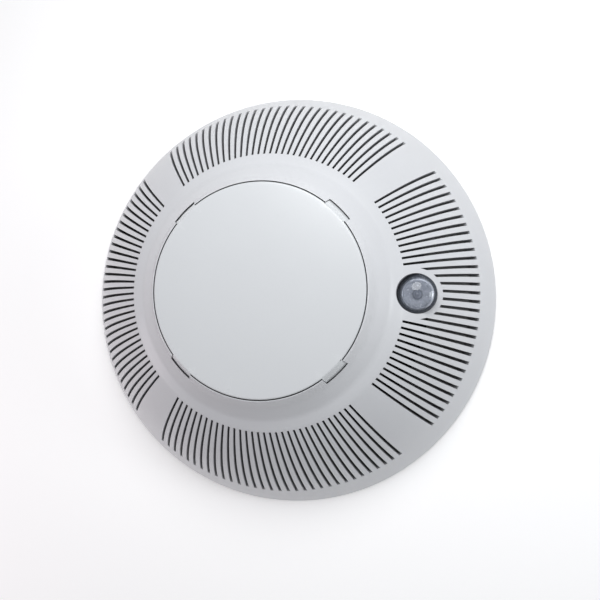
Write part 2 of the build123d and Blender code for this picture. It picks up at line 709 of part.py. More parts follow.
def sounder_leads():
    return [cylinder(LEAD_R, BOARD_TOP, SOUNDER_DISC_Z, SOUNDER_X, side * SOUNDER_LEAD_Y) for side in (-1, 1)]


def backup_cell():
    nib_r, nib_length = CELL_NIB
    can = Rot(0, 90, 0) * Cylinder(CELL_R, CELL_LENGTH)
    can = fillet(can.edges(), CAN_ROUND)
    nib = Pos((CELL_LENGTH + nib_length) / 2, 0, 0) * Rot(0, 90, 0) * Cylinder(nib_r, nib_length)
    return Pos(*CELL_PLACE) * (can + nib)


def cell_tags():
    x, y, z = CELL_PLACE
    thick, width, reach = TAG
    tags = []
    for side, gap in ((-1, 0.0), (1, CELL_NIB[1])):
        face = x + side * ((CELL_LENGTH + thick) / 2 + gap)
        tags.append(block(thick, width, BOARD_TOP, z + reach, face, y))
    return tags


def thermistor_beads():
    places = [polar(THERMISTOR_R, angle) for angle in THERMISTOR_ANGLES]
    return [Pos(x, y, BEAD_Z) * Sphere(BEAD_R) for x, y in places]


def thermistor_leads():
    leads = []
    bead_foot = BEAD_Z - sqrt(BEAD_R**2 - BEAD_LEG**2)
    for angle in THERMISTOR_ANGLES:
        x, y = polar(THERMISTOR_R, angle)
        for side in (-1, 1):
            leads.append(cylinder(LEAD_R, BOARD_TOP, bead_foot - LEAD_R, x + side * BEAD_LEG, y))
    return leads


def relay():
    dx, dy, height = RELAY_SIZE
    body = block(dx, dy, BOARD_TOP, BOARD_TOP + height, *RELAY_PLACE)
    return chamfer(body.edges().group_by(Axis.Z)[-1], CAN_ROUND)


def microcontroller():
    x, y = CHIP_PLACE
    size, top = CHIP_SIZE
    pin_top = BOARD_TOP + 0.3
    body = block(size, size, BOARD_TOP + 0.1, BOARD_TOP + top, x, y)
    for i in range(CHIP_PINS):
        offset = (i - (CHIP_PINS - 1) / 2) * CHIP_PIN_PITCH
        body = body + block(CHIP_PIN_SPAN, 0.4, BOARD_TOP, pin_top, x, y + offset)
        body = body + block(0.4, CHIP_PIN_SPAN, BOARD_TOP, pin_top, x + offset, y)
    return body


def capacitor(x, y, radius, height):
    can = cylinder(radius, BOARD_TOP, BOARD_TOP + height, x, y)
    return fillet(can.edges().group_by(Axis.Z)[-1], CAN_ROUND)


def capacitors():
    return [capacitor(*place) for place in CAPACITORS]


def resistors():
    dx, dy, height = RESISTOR
    x, y, step_x, step_y = RESISTOR_GRID
    chips = [block(dx, dy, BOARD_TOP, BOARD_TOP + height, x + step_x * (i % 3), y + step_y * (i // 3))
             for i in range(9)]
    dx, dy, height = SMALL_RESISTOR
    x, y, step_x = SMALL_RESISTOR_ROW
    return chips + [block(dx, dy, BOARD_TOP, BOARD_TOP + height, x + step_x * i, y) for i in range(5)]


def diodes():
    radius, length = DIODE
    x, y, step = DIODE_ROW
    return [Pos(x + step * i, y, BOARD_TOP + radius) * Rot(90, 0, 0) * Cylinder(radius, length)
            for i in range(4)]


def surge_arrester():
    x, y, radius, thick = ARRESTER
    disc = Rot(90, 0, 0) * Cylinder(radius, thick)
    return Pos(x, y, BOARD_TOP + radius) * fillet(disc.edges(), ARRESTER_ROUND)


def inductor_core():
    flange_r, core_r, height = INDUCTOR
    top = BOARD_TOP + height
    spool = cylinder(core_r, BOARD_TOP, top, *INDUCTOR_PLACE)
    spool = spool + cylinder(flange_r, BOARD_TOP, BOARD_TOP + INDUCTOR_FLANGE, *INDUCTOR_PLACE)
    return spool + cylinder(flange_r, top - INDUCTOR_FLANGE, top, *INDUCTOR_PLACE)


def inductor_coil():
    _, core_r, height = INDUCTOR
    margin = INDUCTOR_FLANGE + 0.1
    return tube(COIL_R, core_r + 0.1, BOARD_TOP + margin, BOARD_TOP + height - margin, *INDUCTOR_PLACE)


NODES = {
    "mounting_plate": mounting_plate,
    "terminal_block": terminal_block,
    "terminal_screws": terminal_screws,
    "contact_leaves": contact_leaves,
    "supply_links": supply_links,
    "base_shell": base_shell,
    "front_cover": front_cover,
    "cover_screws": cover_screws,
    "insect_screen": insect_screen,
    "centre_cap": centre_cap,
    "cap_springs": cap_springs,
    "lens": lens,
    "lamp_reflector": reflector,
    "lamp_led": lamp_led,
    "lamp_holder": lamp_holder,
    "lamp_wires": lamp_wires,
    "circuit_board": circuit_board,
    "board_screws": board_screws,
    "contact_pins": contact_pins,
    "test_switch_body": test_switch_body,
    "test_switch_plunger": test_switch_plunger,
    "sounder_housing": sounder_housing,
    "sounder_disc": sounder_disc,
    "sounder_ceramic": sounder_ceramic,
    "sounder_leads": sounder_leads,
    "backup_cell": backup_cell,
    "cell_tags": cell_tags,
    "thermistor_beads": thermistor_beads,
    "thermistor_leads": thermistor_leads,
    "relay": relay,
    "microcontroller": microcontroller,
    "capacitors": capacitors,
    "resistors": resistors,
    "diodes": diodes,
    "surge_arrester": surge_arrester,
    "inductor_core": inductor_core,
    "inductor_coil": inductor_coil,
}

os.makedirs("parts", exist_ok=True)
for node, make in NODES.items():
    save(node, make())
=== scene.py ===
import json
from math import asin, atan2, cos, degrees, hypot, pi, radians, sin, sqrt

import bmesh
import bpy
from mathutils import Matrix, Vector


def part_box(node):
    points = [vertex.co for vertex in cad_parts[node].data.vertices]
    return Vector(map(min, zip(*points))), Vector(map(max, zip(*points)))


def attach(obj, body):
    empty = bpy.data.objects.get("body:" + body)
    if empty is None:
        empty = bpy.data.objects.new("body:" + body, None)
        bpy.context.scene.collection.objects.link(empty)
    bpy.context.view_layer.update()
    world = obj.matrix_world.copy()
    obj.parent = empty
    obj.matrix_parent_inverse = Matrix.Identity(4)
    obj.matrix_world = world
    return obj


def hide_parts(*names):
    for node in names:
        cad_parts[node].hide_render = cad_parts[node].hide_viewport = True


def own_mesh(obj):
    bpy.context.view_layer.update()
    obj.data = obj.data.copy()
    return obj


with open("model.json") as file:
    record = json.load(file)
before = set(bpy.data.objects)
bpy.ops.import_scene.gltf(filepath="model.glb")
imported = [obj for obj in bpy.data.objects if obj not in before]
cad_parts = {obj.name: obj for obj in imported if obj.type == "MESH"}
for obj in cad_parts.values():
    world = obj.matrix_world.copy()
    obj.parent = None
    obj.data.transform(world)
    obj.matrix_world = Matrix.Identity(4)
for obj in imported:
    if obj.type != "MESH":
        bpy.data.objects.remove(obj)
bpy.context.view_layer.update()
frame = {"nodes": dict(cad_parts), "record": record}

MM = 0.001

# ---------------------------------------------------------------------------
# Sizes in millimetres. The overall ones come from the frame, the rest are the
# object's own details, kept inside the CAD parts that they stand for.
# ---------------------------------------------------------------------------
cover_low, cover_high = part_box("front_cover")
cap_low, cap_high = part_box("centre_cap")
lens_low, lens_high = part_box("lens")

COVER_R = cover_high.x / MM
RIM_Z = cover_low.z / MM
BOSS_TOP_Z = cover_high.z / MM
CAP_TOP_Z = cap_high.z / MM
LAMP_X = (lens_low.x + lens_high.x) / 2 / MM
LENS_R = (lens_high.x - lens_low.x) / 2 / MM
LENS_TOP_Z = lens_high.z / MM

# front cover
WALL = 3.0
DOME_START = (43.7, 37.8)   # radius and height where the dome leaves the boss
DOME_ARC_R = 84.0
BOSS_LIP_R = 34.2
BOSS_WAIST = (36.2, 42.9)
BOSS_FOOT = (40.6, 39.0)
WELL_R = 33.9
WELL_FLOOR_Z = 39.5
WELL_FLOOR = 2.0
STEM_HOLE_R = 4.0
RIM_ROUND = 0.7
POST_R = 56.0
POST_SIZE = 3.5
POST_FOOT_Z = 14.0
PILOT = (1.3, 9.0)          # radius and depth

# air slots
SECTORS = 4
SLOTS = 32
PITCH = 2.5                 # degrees
SPREAD = 0.92               # degrees
SLOT_R_IN = 44.7
SLOT_R_OUT = 68.7
ROW_STEP = 1.5              # radial distance between the dome's rows of faces
PAD_R = 8.0

# lamp
LENS_BORE_R = 6.3
LENS_CROWN = 2.4
LENS_WALL = 0.9
SOCKET_R = 7.8
SOCKET_Z = 24.0

# centre cap
CAP_R = 33.6
CAP_THICK = 2.0
CAP_SKIRT = (31.0, 32.4, 41.4)   # inner radius, outer radius and foot height
STEM_R = 2.5
TONGUES = 4
TONGUE_SPREAD = 14.0        # degrees
TONGUE_R = 35.5
TONGUE_TIP_Z = 43.1
TONGUE_THICK = 1.2
TONGUE_ROOM = 0.08          # between a tongue's tip and the end of its notch
CAP_TRAVEL = 1.5
HOOK_R = 29.0
HOOK_SIZE = (1.6, 5.0)      # radial and tangential
HOOK_FOOT_Z = 35.95
HOOK_BARB = (0.9, 1.5)      # reach and height
SPRINGS = 4
SPRING_R = 24.0
SPRING_COIL_R = 2.3
SPRING_WIRE = 0.22
SPRING_TURNS = 5
SPRING_CLOSED = 0.75        # turns at each end that lie almost flat
PEG = (1.4, 41.8)           # radius and foot height

# insect screen
SCREEN_FOOT_R = 51.7
SCREEN_CROWN_R = 43.4
SCREEN_OPENING = 8.3        # clear radius round the lamp
SCREEN_UPRIGHTS = 288
SCREEN_HOOPS = 24
SCREEN_WIRE = 0.13
SCREEN_WEAVE = 0.12         # how far a wire bends out of the cone


# ---------------------------------------------------------------------------
# Mesh helpers
# ---------------------------------------------------------------------------
def mesh_object(name, verts, faces, smooth=True):
    """A mesh from points in millimetres, with its normals turned outwards."""
    mesh = bpy.data.meshes.new(name)
    mesh.from_pydata([(x * MM, y * MM, z * MM) for x, y, z in verts], [], faces)
    tidy_mesh(mesh)
    obj = bpy.data.objects.new(name, mesh)
    bpy.context.scene.collection.objects.link(obj)
    if smooth:
        mesh.shade_smooth()
    return obj


def tidy_mesh(mesh):
    """Merge points that coincide, and turn all faces outwards."""
    work = bmesh.new()
    work.from_mesh(mesh)
    bmesh.ops.remove_doubles(work, verts=work.verts, dist=1e-6)
    bmesh.ops.recalc_face_normals(work, faces=work.faces)
    work.to_mesh(mesh)
    work.free()


def corner(before, point, after, cut, steps=4):
    """Round a corner of an outline: points along a curve that leaves and rejoins it 'cut' away."""
    p, a, b = Vector(point), Vector(before), Vector(after)
    start = p + (a - p).normalized() * cut
    end = p + (b - p).normalized() * cut
    return [tuple(start.lerp(p, t).lerp(p.lerp(end, t), t)) for t in (i / steps for i in range(steps + 1))]


def rounded(points, cuts, closed=False):
    """An outline with each corner rounded by its own cut; a cut of 0 keeps the corner sharp."""
    out = []
    count = len(points)
    for i, (point, cut) in enumerate(zip(points, cuts)):
        if cut == 0 or (not closed and i in (0, count - 1)):
            out.append(tuple(point))
        else:
            out += corner(points[i - 1], point, points[(i + 1) % count], cut)
    return out


def lathe(name, outline, columns=96, centre=(0.0, 0.0), closed=True):
    """Turn an outline of (radius, height) about an upright axis. Points on the axis become poles."""
    verts, rings = [], []
    for r, z in outline:
        if r < 1e-6:
            rings.append([len(verts)] * columns)
            verts.append((centre[0], centre[1], z))
        else:
            rings.append(list(range(len(verts), len(verts) + columns)))
            for k in range(columns):
                a = 2 * pi * k / columns
                verts.append((centre[0] + r * cos(a), centre[1] + r * sin(a), z))
    pairs = list(zip(rings, rings[1:]))
    if closed:
        pairs.append((rings[-1], rings[0]))
    faces = []
    for low, high in pairs:
        for k in range(columns):
            n = (k + 1) % columns
            loop = [low[k], low[n], high[n], high[k]]
            face = list(dict.fromkeys(loop))
            if len(face) > 2:
                faces.append(face)
    return mesh_object(name, verts, faces)


def prism(name, outline, z0, z1):
    """An upright prism from a plan outline."""
    count = len(outline)
    verts = [(x, y, z0) for x, y in outline] + [(x, y, z1) for x, y in outline]
    faces = [list(range(count))[::-1], list(range(count, 2 * count))]
    faces += [[i, (i + 1) % count, count + (i + 1) % count, count + i] for i in range(count)]
    return mesh_object(name, verts, faces, smooth=False)


def fan(name, outline, start, spread, steps):
    """Part of a lathe: an outline of (radius, height) swept between two angles, with flat ends."""
    count = len(outline)
    verts, faces = [], []
    for k in range(steps + 1):
        a = radians(start + spread * k / steps)
        verts += [(r * cos(a), r * sin(a), z) for r, z in outline]
    for k in range(steps):
        for i in range(count):
            n = (i + 1) % count
            faces.append([k * count + i, k * count + n, (k + 1) * count + n, (k + 1) * count + i])
    faces.append(list(range(count))[::-1])
    faces.append([steps * count + i for i in range(count)])
    return mesh_object(name, verts, faces, smooth=False)


def circle_points(r, x=0.0, y=0.0, count=48):
    """Points of a circle, anticlockwise."""
    return [(x + r * cos(2 * pi * k / count), y + r * sin(2 * pi * k / count)) for k in range(count)]


def rod(name, r, z0, z1, x=0.0, y=0.0, count=48):
    """An upright cylinder."""
    return prism(name, circle_points(r, x, y, count), z0, z1)


def box_points(dx, dy, x, y, turn=0.0):
    """The corners of a rectangle, anticlockwise, turned about its middle."""
    c, s = cos(turn), sin(turn)
    corners = ((-dx / 2, -dy / 2), (dx / 2, -dy / 2), (dx / 2, dy / 2), (-dx / 2, dy / 2))
    return [(x + c * u - s * v, y + s * u + c * v) for u, v in corners]


def polar(r, angle):
    """The point at a radius and at an angle in degrees."""
    return r * cos(radians(angle)), r * sin(radians(angle))


def joined(name, parts):
    """One object from several, in the same place."""
    work = bmesh.new()
    for part in parts:
        work.from_mesh(part.data)
        mesh = part.data
        bpy.data.objects.remove(part)
        bpy.data.meshes.remove(mesh)
    mesh = bpy.data.meshes.new(name)
    work.to_mesh(mesh)
    work.free()
    obj = bpy.data.objects.new(name, mesh)
    bpy.context.scene.collection.objects.link(obj)
    return obj


def bake(obj):
    """Replace an object's mesh by the result of its modifiers."""
    bpy.context.view_layer.update()
    depsgraph = bpy.context.evaluated_depsgraph_get()
    mesh = bpy.data.meshes.new_from_object(obj.evaluated_get(depsgraph))
    obj.modifiers.clear()
    old = obj.data
    obj.data = mesh
    bpy.data.meshes.remove(old)


def combine(obj, tool, operation):
    """Add a tool mesh to an object, or cut it away, and delete the tool."""
    change = obj.modifiers.new(operation.title(), "BOOLEAN")
    change.operation = operation
    change.object = tool
    change.solver = "EXACT"
    change.use_self = operation == "UNION"
    bake(obj)
    mesh = tool.data
    bpy.data.objects.remove(tool)
    bpy.data.meshes.remove(mesh)


def soften(obj, width, angle):
    """Rounded edges on everything sharper than an angle, and shading that keeps flats flat."""
    bevel = obj.modifiers.new("Edges", "BEVEL")
    bevel.width = width * MM
    bevel.segments = 2
    bevel.limit_method = "ANGLE"
    bevel.angle_limit = radians(angle)
    bevel.miter_outer = "MITER_ARC"
    normals = obj.modifiers.new("Normals", "WEIGHTED_NORMAL")
    normals.keep_sharp = True
    obj.data.shade_smooth()


def crease(obj):
    """Smooth shading that stays sharp across edges steeper than 35 degrees, for edges too fine to round."""
    obj.data.shade_smooth()
    obj.data.set_sharp_from_angle(angle=radians(35))
    normals = obj.modifiers.new("Normals", "WEIGHTED_NORMAL")
    normals.keep_sharp = True


# ---------------------------------------------------------------------------
# Front cover
# ---------------------------------------------------------------------------
def dome_centre():
    """Centre of the dome's arc, from the arc's two ends and its radius."""
    (r0, z0), (r1, z1) = DOME_START, (COVER_R, RIM_Z)
    chord = hypot(r1 - r0, z1 - z0)
    reach = sqrt(DOME_ARC_R**2 - (chord / 2) ** 2)
    return (r0 + r1) / 2 + (z1 - z0) / chord * reach, (z0 + z1) / 2 - (r1 - r0) / chord * reach


DOME_R0, DOME_Z0 = dome_centre()


def dome_point(r_outer, inset=0.0):
    """A point of the dome's section: the outer one above a radius, or the one 'inset' under it."""
    a = atan2(sqrt(DOME_ARC_R**2 - (r_outer - DOME_R0) ** 2), r_outer - DOME_R0)
    reach = DOME_ARC_R - inset
    return DOME_R0 + reach * cos(a), DOME_Z0 + reach * sin(a)


def inner_radius_at(z):
    """Radius of the dome's inner side at a height."""
    return DOME_R0 + sqrt((DOME_ARC_R - WALL) ** 2 - (z - DOME_Z0) ** 2)


def slot_positions():
    """Angles of every slot's centre line, in degrees from the lamp."""
    for sector in range(SECTORS):
        for k in range(SLOTS):
            yield sector * 360 / SECTORS + (k + 0.5 - SLOTS / 2) * PITCH


def pad_radius(angle):
    """Where a ray from the axis leaves the solid pad round the lens, or the slots' own start."""
    off = LAMP_X * sin(radians(angle))
    if abs(angle) > 90 or abs(off) >= PAD_R:
        return SLOT_R_IN
    return max(SLOT_R_IN, LAMP_X * cos(radians(angle)) + sqrt(PAD_R**2 - off**2))


def dome_stations():
    """Radii of the cover's rows over the dome, with one at every place where a slot starts or ends."""
    fixed = [DOME_START[0], SLOT_R_IN, SLOT_R_OUT, COVER_R]
    fixed += [pad_radius(a) for a in slot_positions() if 0 < a < 90]
    fixed = sorted(set(round(r, 4) for r in fixed))
    stations = []
    for low, high in zip(fixed, fixed[1:]):
        steps = max(1, round((high - low) / ROW_STEP))
        stations += [low + (high - low) * k / steps for k in range(steps)]
    return stations + [COVER_R]


def cover_section():
    """The cover's closed section, its dome's radii, and where the dome starts outside and ends inside."""
    lip = (BOSS_LIP_R, BOSS_TOP_Z)
    boss = [(WELL_R, WELL_FLOOR_Z), (WELL_R, BOSS_TOP_Z), lip, BOSS_WAIST, BOSS_FOOT, DOME_START]
    boss = rounded(boss, [0, 0.12, 0.3, 1.2, 1.2, 0])[:-1]
    rows = dome_stations()
    outside = [dome_point(r) for r in rows[:-1]]
    foot = (inner_radius_at(RIM_Z), RIM_Z)
    rim = rounded([outside[-1], (COVER_R, RIM_Z), foot], [0, RIM_ROUND, 0])[1:]
    inside = [dome_point(r, WALL) for r in rows if dome_point(r, WALL)[1] > RIM_Z + 0.4][::-1]
    floor_low = WELL_FLOOR_Z - WELL_FLOOR
    well = [(BOSS_WAIST[0], floor_low), (STEM_HOLE_R, floor_low), (STEM_HOLE_R, WELL_FLOOR_Z)]
    section = boss + outside + rim + inside + well
    first_out = len(boss)
    first_in = len(boss) + len(outside) + len(rim)
    return section, rows, first_out, first_in + len(inside) - 1


def cover_columns():
    """Angles of the cover's columns, and which gaps between columns are slots."""
    columns, slots = [], {}
    half = SPREAD / 2
    cells = round(360 / PITCH)
    centres = {round(a % 360, 3): a for a in slot_positions()}
    for cell in range(cells):
        centre = (cell + 0.5) * PITCH
        columns.append(centre - half)
        if round(centre, 3) in centres:
            slots[len(columns) - 1] = (centre + 180) % 360 - 180
        columns += [centre + half, centre + PITCH / 2]
    return columns, slots


def nearest_row(rows, r):
    """Index of the row nearest to a radius."""
    return min(range(len(rows)), key=lambda i: abs(rows[i] - r))


def cover_mesh():
    """The closed shell, as columns of one section, with walls instead of skin at each slot."""
    section, rows, first_out, last_in = cover_section()
    columns, slots = cover_columns()
    count, wide = len(section), len(columns)
    verts = []
    for a in columns:
        c, s = cos(radians(a)), sin(radians(a))
        verts += [(r * c, r * s, z) for r, z in section]

    def out(k, i):
        return (k % wide) * count + first_out + i

    def into(k, i):
        return (k % wide) * count + last_in - i

    opening = {}
    end = nearest_row(rows, SLOT_R_OUT)
    for k, angle in slots.items():
        start = nearest_row(rows, pad_radius(angle))
        opening[k] = (start, end)
        if pad_radius(angle) > SLOT_R_IN:
            for side, edge in ((k, angle - SPREAD / 2), (k + 1, angle + SPREAD / 2)):
                slide_to_pad(verts, out(side, start), into(side, start), edge)
    faces = []
    for k in range(wide):
        start, stop = opening.get(k, (0, 0))
        skip = {first_out + i for i in range(start, stop)}
        skip |= {last_in - i - 1 for i in range(start, stop)}
        a, b = k * count, ((k + 1) % wide) * count
        for i in range(count):
            if i not in skip:
                n = (i + 1) % count
                faces.append([a + i, b + i, b + n, a + n])
        if stop > start:
            faces += slot_walls(out, into, k, start, stop)
    return mesh_object("front_cover_shell", verts, faces)


def slot_walls(out, into, k, start, stop):
    """The two long walls and the two end walls of the slot between columns k and k + 1."""
    walls = []
    for i in range(start, stop):
        walls.append([out(k, i), out(k, i + 1), into(k, i + 1), into(k, i)])
        walls.append([out(k + 1, i + 1), out(k + 1, i), into(k + 1, i), into(k + 1, i + 1)])
    for i in (start, stop):
        walls.append([out(k, i), into(k, i), into(k + 1, i), out(k + 1, i)])
    return walls


def slide_to_pad(verts, outer, inner, angle):
    """Move a slot corner along the dome onto the pad's circle, so that the slot's end follows it."""
    r = pad_radius(angle)
    for index, inset in ((outer, 0.0), (inner, WALL)):
        radius, z = dome_point(r, inset)
        verts[index] = (radius * cos(radians(angle)), radius * sin(radians(angle)), z)


def lamp_socket():
    """The boss under the cover that holds the lamp, its top hidden inside the dome's wall."""
    plan = circle_points(SOCKET_R, LAMP_X, count=72)
    count = len(plan)
    tops = [dome_point(max(DOME_START[0], hypot(x, y)) - 1.0, WALL / 2)[1] - 0.3 for x, y in plan]
    verts = [(x, y, SOCKET_Z) for x, y in plan] + [(x, y, z) for (x, y), z in zip(plan, tops)]
    verts += [(LAMP_X, 0, SOCKET_Z), (LAMP_X, 0, sum(tops) / count)]
    faces = [[i, (i + 1) % count, count + (i + 1) % count, count + i] for i in range(count)]
    faces += [[(i + 1) % count, i, 2 * count] for i in range(count)]
    faces += [[count + i, count + (i + 1) % count, 2 * count + 1] for i in range(count)]
    return mesh_object("socket", verts, faces, smooth=False)


def front_cover():
    """The slotted dome with its posts, socket, lens bore, tongue notches and hook windows."""
    cover = cover_mesh()
    corners = [45 + 90 * i for i in range(TONGUES)]
    post_top = dome_point(POST_R + POST_SIZE, WALL / 2)[1] + 1
    posts = [rod("post", POST_SIZE, POST_FOOT_Z, post_top, *polar(POST_R, a)) for a in corners]
    combine(cover, joined("added", posts + [lamp_socket()]), "UNION")
    cuts = [rod("bore", LENS_BORE_R, SOCKET_Z - 4, BOSS_TOP_Z + 5, LAMP_X, count=96)]
    half = TONGUE_SPREAD / 2 + 0.25
    foot = TONGUE_TIP_Z - TONGUE_THICK - CAP_TRAVEL - 0.2
    low_r, high_r, top = WELL_R - 0.5, TONGUE_R + TONGUE_ROOM, BOSS_TOP_Z + 5
    notch = [(low_r, foot), (high_r, foot), (high_r, top), (low_r, top)]
    window_x, window_y = HOOK_SIZE[0] + 1.5, HOOK_SIZE[1] + 1
    pilot_r, pilot_depth = PILOT
    for a in corners:
        cuts.append(fan("notch", notch, a - half, 2 * half, 8))
        window = box_points(window_x, window_y, *polar(HOOK_R + HOOK_BARB[0] / 2, a), radians(a))
        cuts.append(prism("window", window, WELL_FLOOR_Z - 3.5, WELL_FLOOR_Z + 1.5))
        pilot_top = POST_FOOT_Z + pilot_depth
        cuts.append(rod("pilot", pilot_r, POST_FOOT_Z - 1, pilot_top, *polar(POST_R, a), count=24))
    combine(cover, joined("removed", cuts), "DIFFERENCE")
    crease(cover)
    return cover


# ---------------------------------------------------------------------------
# Centre cap
# ---------------------------------------------------------------------------
def cap_crown(r):
    """Height of the cap's face, which is very slightly domed."""
    return CAP_TOP_Z - 0.05 * (r / CAP_R) ** 2


def cap_mesh():
    """The cap's plate and tongues in one grid: plain edge and tongue sections meet at flat end walls."""
    low = CAP_TOP_Z - CAP_THICK
    face = [(r, cap_crown(r)) for r in (3, 8, 13, 18, 23, 27, 30, 32)]
    start, heel, under = (33.0, cap_crown(33.0)), (CAP_R, low), (31.2, low)
    plain = corner(start, (CAP_R, start[1]), heel, 0.6) + [heel, under]
    tip, knee = (TONGUE_R, TONGUE_TIP_Z - 0.1), (33.9, start[1])
    roll = [tuple(Vector(start).lerp(knee, i / 10).lerp(Vector(knee).lerp(tip, i / 10), i / 10))
            for i in range(11)]
    tongue = roll + [(TONGUE_R, TONGUE_TIP_Z - TONGUE_THICK), heel, under]
    half = TONGUE_SPREAD / 2
    columns = []
    for quarter in range(TONGUES):
        middle = 45 + 90 * quarter
        columns += [(middle - half + TONGUE_SPREAD * k / 10, tongue) for k in range(11)]
        gap = 90 - TONGUE_SPREAD
        columns += [(middle + half + gap * k / 60, plain) for k in range(61)]
    verts, loops = [(0, 0, CAP_TOP_Z), (0, 0, low)], []
    for angle, edge in columns:
        c, s = cos(radians(angle)), sin(radians(angle))
        loops.append(list(range(len(verts), len(verts) + len(face) + len(edge))))
        verts += [(r * c, r * s, z) for r, z in face + edge]
    faces = []
    for k, (loop, after) in enumerate(zip(loops, loops[1:] + loops[:1])):
        if len(loop) == len(after) and columns[k][1] is columns[(k + 1) % len(columns)][1]:
            faces.append([0, loop[0], after[0]])
            faces += [[loop[i], loop[i + 1], after[i + 1], after[i]] for i in range(len(loop) - 1)]
            faces.append([1, after[-1], loop[-1]])
        else:
            first = len(face)
            faces.append(loop[first:-1] + after[first + 1:-2][::-1])
    return mesh_object("centre_cap_plate", verts, faces)


def centre_cap():
    """The cap's plate with its skirt, stem, spring pegs, hooks and the mark left by moulding."""
    cap = cap_mesh()
    low = CAP_TOP_Z - CAP_THICK
    root = low + 0.3
    inner, outer, foot = CAP_SKIRT
    added = [lathe("skirt", [(inner, foot), (outer, foot), (outer, root), (inner, root)], 144)]
    added.append(rod("stem", STEM_R, cap_low.z / MM, root, count=40))
    peg_r, peg_foot = PEG
    for i in range(TONGUES):
        middle = 45 + 90 * i
        added.append(rod("peg", peg_r, peg_foot, root, *polar(SPRING_R, 90 * i), count=24))
        leg = box_points(*HOOK_SIZE, *polar(HOOK_R, middle), radians(middle))
        added.append(prism("leg", leg, HOOK_FOOT_Z, root))
        added.append(hook_barb(middle))
    added.append(rod("gate_mark", 0.22, low + 1, CAP_TOP_Z + 0.03, *polar(31.6, 255), 16))
    combine(cap, joined("added", added), "UNION")
    soften(cap, 0.1, 32)
    return cap


def hook_barb(angle):
    """The wedge at the foot of a hook that catches under the well's floor."""
    reach, height = HOOK_BARB
    root, tip = HOOK_R + HOOK_SIZE[0] / 2 - 0.2, HOOK_R + HOOK_SIZE[0] / 2 + reach
    top = HOOK_FOOT_Z + height
    profile = ((root, top), (tip, top), (root, HOOK_FOOT_Z))
    c, s = cos(radians(angle)), sin(radians(angle))
    half = HOOK_SIZE[1] / 2
    verts = []
    for side in (-half, half):
        verts += [(r * c - side * s, r * s + side * c, z) for r, z in profile]
    faces = [[0, 1, 2], [5, 4, 3], [0, 3, 4, 1], [1, 4, 5, 2], [2, 5, 3, 0]]
    return mesh_object("barb", verts, faces, smooth=False)


def cap_springs():
    """Four coil springs with closed ends. Their outline gets shorter as the cap is pressed."""
    low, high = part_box("cap_springs")
    foot, head = low.z / MM + SPRING_WIRE, high.z / MM - SPRING_WIRE
    steps, sides, closed = 28, 8, SPRING_CLOSED
    rise = 2.1 * SPRING_WIRE

    def height(turn):
        """Nearly flat over the closed turns at each end, steeper between them."""
        if turn < closed:
            return foot + rise * turn
        if turn > SPRING_TURNS - closed:
            return head - rise * (SPRING_TURNS - turn)
        share = (turn - closed) / (SPRING_TURNS - 2 * closed)
        return foot + rise * closed + (head - foot - 2 * rise * closed) * share

    verts, faces = [], []
    for i in range(SPRINGS):
        x, y = polar(SPRING_R, 360 / SPRINGS * i)
        first = len(verts)
        for k in range(SPRING_TURNS * steps + 1):
            a, z = 2 * pi * k / steps, height(k / steps)
            for j in range(sides):
                b = 2 * pi * j / sides
                r = SPRING_COIL_R + SPRING_WIRE * cos(b)
                verts.append((x + r * cos(a), y + r * sin(a), z + SPRING_WIRE * sin(b)))
        for k in range(first, len(verts) - sides, sides):
            for j in range(sides):
                n = (j + 1) % sides
                faces.append([k + j, k + j + sides, k + n + sides, k + n])
        faces.append([first + j for j in range(sides)])
        faces.append([len(verts) - 1 - j for j in range(sides)])
    return mesh_object("coil_springs", verts, faces)


# ---------------------------------------------------------------------------
# Lamp
# ---------------------------------------------------------------------------
def lens_piece():
    """A clear thimble: a domed top on a thin skirt."""
    base = lens_low.z / MM
    edge = LENS_TOP_Z - LENS_CROWN
    inner = LENS_R - LENS_WALL
    crown_r = (LENS_R**2 + LENS_CROWN**2) / (2 * LENS_CROWN)
    steps = 14
    angles = [asin(LENS_R / crown_r) * k / steps for k in range(steps, -1, -1)]
    crown = [(crown_r * sin(a), LENS_TOP_Z - crown_r * (1 - cos(a))) for a in angles]
    outline = [(0, edge), (inner, edge), (inner, base), (LENS_R, base)] + crown
    piece = lathe("lamp_lens", outline, 96, (LAMP_X, 0), closed=False)
    soften(piece, 0.15, 40)
    return piece


def reflector_piece():
    """A chromed bowl with a flat flange, pressed in shallow flutes so that it scatters the light."""
    low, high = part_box("lamp_reflector")
    top = high.z / MM
    rim, neck, depth, thick = 4.5, 1.6, 3.8, 0.5
    flutes, flute_depth = 9, 0.10
    flange = (high.x - low.x) / 2 / MM
    steps = 18
    radii = [neck + (rim - neck) * k / steps for k in range(steps + 1)]
    bowl = [(r, top - depth * (1 - (r / rim) ** 2)) for r in radii]
    back = [(r, z - thick) for r, z in bowl[::-1]]
    edge = [(rim + 0.2, top), (flange, top - 0.5), (flange, top - 0.9), (rim + 0.1, top - 0.6)]
    piece = lathe("lamp_bowl", bowl + edge + back, 120, (LAMP_X, 0))
    centre = Vector((LAMP_X * MM, 0, 0))
    for v in piece.data.vertices:
        flat = Vector((v.co.x - centre.x, v.co.y, 0))
        r = flat.length / MM
        if neck < r < rim:
            a = atan2(flat.y, flat.x)
            lift = flute_depth * sin(flutes * a) * sin(pi * (r - neck) / (rim - neck))
            v.co.z += lift * MM
    soften(piece, 0.08, 50)
    return piece


